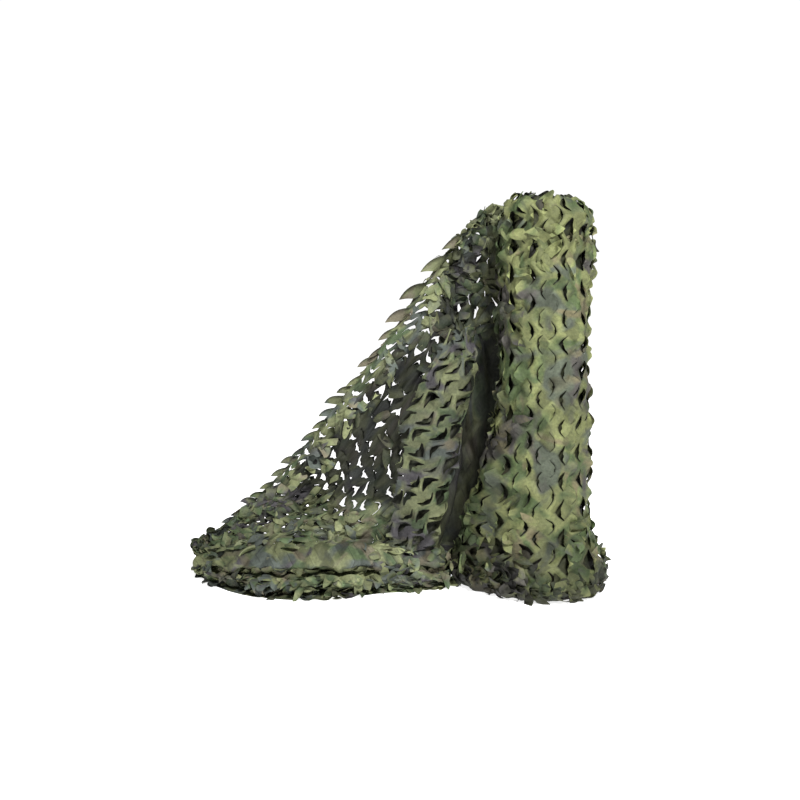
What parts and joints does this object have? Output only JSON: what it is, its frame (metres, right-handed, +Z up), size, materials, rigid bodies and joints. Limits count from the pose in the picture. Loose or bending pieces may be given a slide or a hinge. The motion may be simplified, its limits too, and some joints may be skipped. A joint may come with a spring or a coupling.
{
  "type": "camouflage netting",
  "caption": "Roll of leaf-cut camouflage netting standing on end, its loose end pulled out to one side, slumped and lying in long folds.",
  "frame": {"origin": "middle of the roll's flat foot, on the surface it stands on", "axes": "+Z up along the roll, -X the way the loose end is pulled out, -Y the front, where the long folds lie on the floor"},
  "size_m": [1.6454, 0.516, 1.5],
  "materials": {
    "netting": "matt, faintly satin woven polyester, printed in woodland greens, olive and brown"
  },
  "bodies": {
    "root": {"roll": "netting", "loose_end": "netting"}
  },
  "joints": []
}
